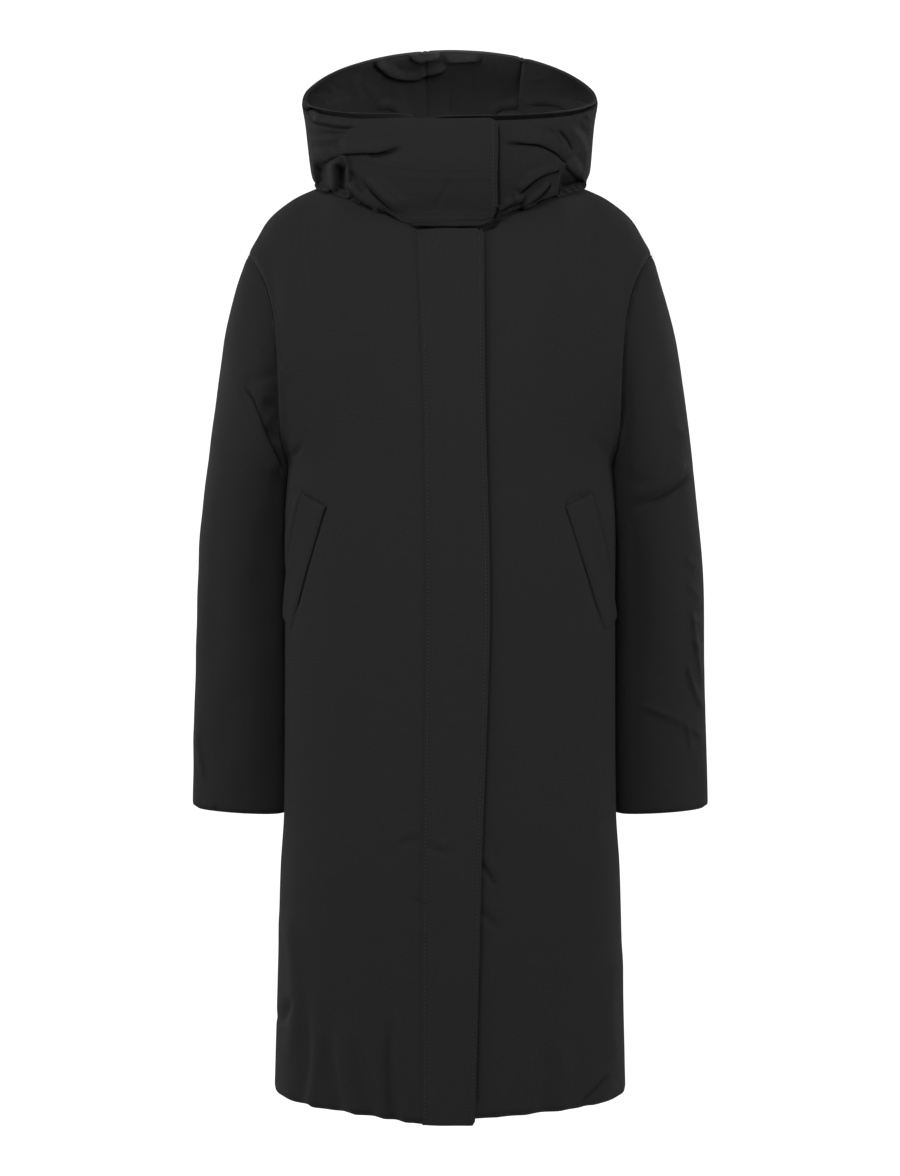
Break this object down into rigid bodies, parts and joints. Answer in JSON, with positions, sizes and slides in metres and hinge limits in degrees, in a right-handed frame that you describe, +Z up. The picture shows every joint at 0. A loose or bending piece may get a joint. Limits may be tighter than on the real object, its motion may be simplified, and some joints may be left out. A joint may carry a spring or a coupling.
{
  "type": "parka",
  "caption": "Long straight hooded parka, worn hollow form: fly placket, stand-up hood with throat flap, set-in sleeves, slanted welt pockets.",
  "frame": {"origin": "midway between the inner ends of the shoulder seams and level with them, where the wearer's shoulders carry the coat", "axes": "+Z up, -Y the coat's front, +X the wearer's left"},
  "size_m": [0.607, 0.3596, 1.25],
  "materials": {
    "shell_cloth": "matte, tightly woven black technical cloth",
    "lining_cloth": "matte black woven lining"
  },
  "bodies": {
    "root": {"front_right": "shell_cloth", "front_left": "shell_cloth", "back": "shell_cloth", "sleeve_right": "shell_cloth", "sleeve_left": "shell_cloth", "hood_side_right": "shell_cloth", "hood_lining_right": "lining_cloth", "hood_side_left": "shell_cloth", "hood_lining_left": "lining_cloth", "hood_centre": "shell_cloth", "hood_lining_centre": "lining_cloth", "placket": "shell_cloth", "pocket_welt_right": "shell_cloth", "pocket_welt_left": "shell_cloth"}
  },
  "joints": []
}
